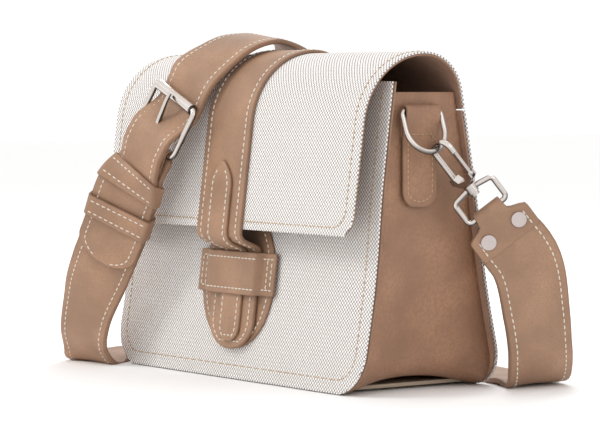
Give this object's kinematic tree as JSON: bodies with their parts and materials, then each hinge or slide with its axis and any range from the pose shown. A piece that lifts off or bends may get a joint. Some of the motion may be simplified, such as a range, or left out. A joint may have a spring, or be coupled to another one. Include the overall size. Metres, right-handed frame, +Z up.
{
  "type": "camera bag",
  "caption": "Structured crossbody camera bag: canvas panels and flap, leather gusset, a closure strap through a keeper, and a buckled shoulder strap on two swivel snap hooks, draped over the top.",
  "frame": {"origin": "middle of the base, on the surface that the bag stands on", "axes": "+Z up, -Y towards the front panel, +X to the right seen from the front"},
  "size_m": [0.3429, 0.2002, 0.2061],
  "materials": {
    "canvas": "matte",
    "lining_leather": "matte",
    "gusset_leather": "satin",
    "strap_leather": "satin",
    "board": "matte",
    "nickel": "polished"
  },
  "bodies": {
    "bag": {"front_canvas": "canvas", "front_board": "board", "front_lining": "lining_leather", "back_canvas": "canvas", "back_board": "board", "back_lining": "lining_leather", "gusset": "gusset_leather", "base_board": "board", "closure_patch": "gusset_leather", "closure_keeper": "strap_leather", "ring_tab_right": "gusset_leather", "ring_tab_left": "gusset_leather", "swivel_eye_right": "nickel", "swivel_eye_left": "nickel", "long_strap_floor": "strap_leather", "buckle_strap_side": "strap_leather", "rivet_front_right": "nickel", "rivet_front_left": "nickel", "rivet_back_right": "nickel", "rivet_back_left": "nickel"},
    "flap": {"flap_canvas": "canvas", "flap_lining": "lining_leather", "closure_strap": "strap_leather", "closure_overlay": "strap_leather"},
    "d_ring_r": {"d_ring_right": "nickel"},
    "d_ring_l": {"d_ring_left": "nickel"},
    "hook_r": {"snap_hook_right": "nickel", "gate_pin_right": "nickel"},
    "hook_l": {"snap_hook_left": "nickel", "gate_pin_left": "nickel"},
    "gate_r": {"snap_gate_right": "nickel"},
    "gate_l": {"snap_gate_left": "nickel"},
    "strap": {"long_strap_drape": "strap_leather", "buckle_strap_front": "strap_leather", "buckle_frame": "nickel", "strap_loop_upper": "strap_leather", "strap_loop_lower": "strap_leather"},
    "roller": {"buckle_roller": "nickel"},
    "prong": {"buckle_prong": "nickel"}
  },
  "joints": [
    {"name": "flap_open", "type": "hinge", "parent": "bag", "child": "flap", "pos_m": [0, 0.02224, 0.1567], "axis": [-1, 0, 0], "range_deg": [0, 165], "deforming": ["long_strap_drape", "buckle_strap_front", "strap_loop_upper", "strap_loop_lower", "buckle_frame", "buckle_roller", "buckle_prong"]},
    {"name": "strap_swing", "type": "hinge", "parent": "bag", "child": "strap", "pos_m": [-0.142, 0, 0], "axis": [0, -1, 0], "range_deg": [0, 50], "deforming": ["long_strap_drape", "buckle_strap_front"]},
    {"name": "buckle_roll", "type": "hinge", "parent": "strap", "child": "roller", "pos_m": [-0.039, -0.0625, 0.163], "axis": [0.9178, 0.002, -0.397], "continuous": true},
    {"name": "prong_lift", "type": "hinge", "parent": "strap", "child": "prong", "pos_m": [-0.05083, -0.0709, 0.13561], "axis": [0.9178, 0.002, -0.397], "range_deg": [0, 15]},
    {"name": "d_ring_swing_r", "type": "hinge", "parent": "bag", "child": "d_ring_r", "pos_m": [0.1239, -0.009, 0.156], "axis": [0, -1, 0], "range_deg": [0, 3]},
    {"name": "hook_swivel_r", "type": "hinge", "parent": "bag", "child": "hook_r", "pos_m": [0.13127, -0.00124, 0.13575], "axis": [0.2353, 0.5746, -0.7839], "range_deg": [-10, 10]},
    {"name": "gate_open_r", "type": "hinge", "parent": "hook_r", "child": "gate_r", "pos_m": [0.1424, 0.01099, 0.12127], "axis": [0.1965, -0.8184, -0.54], "range_deg": [0, 16], "stiffness_Nm_per_rad": 0.004, "springref_deg": -11.46},
    {"name": "d_ring_swing_l", "type": "hinge", "parent": "bag", "child": "d_ring_l", "pos_m": [-0.1239, -0.009, 0.156], "axis": [0, 1, 0], "range_deg": [0, 3]},
    {"name": "hook_swivel_l", "type": "hinge", "parent": "bag", "child": "hook_l", "pos_m": [-0.13127, -0.00124, 0.13575], "axis": [0.2353, -0.5746, 0.7839], "range_deg": [-10, 10]},
    {"name": "gate_open_l", "type": "hinge", "parent": "hook_l", "child": "gate_l", "pos_m": [-0.1424, 0.01099, 0.12127], "axis": [0.1965, 0.8184, 0.54], "range_deg": [0, 16], "stiffness_Nm_per_rad": 0.004, "springref_deg": -11.46}
  ],
  "couplings": [
    {"joint": "strap_swing", "follows": "flap_open", "ratio": 0.30303}
  ]
}
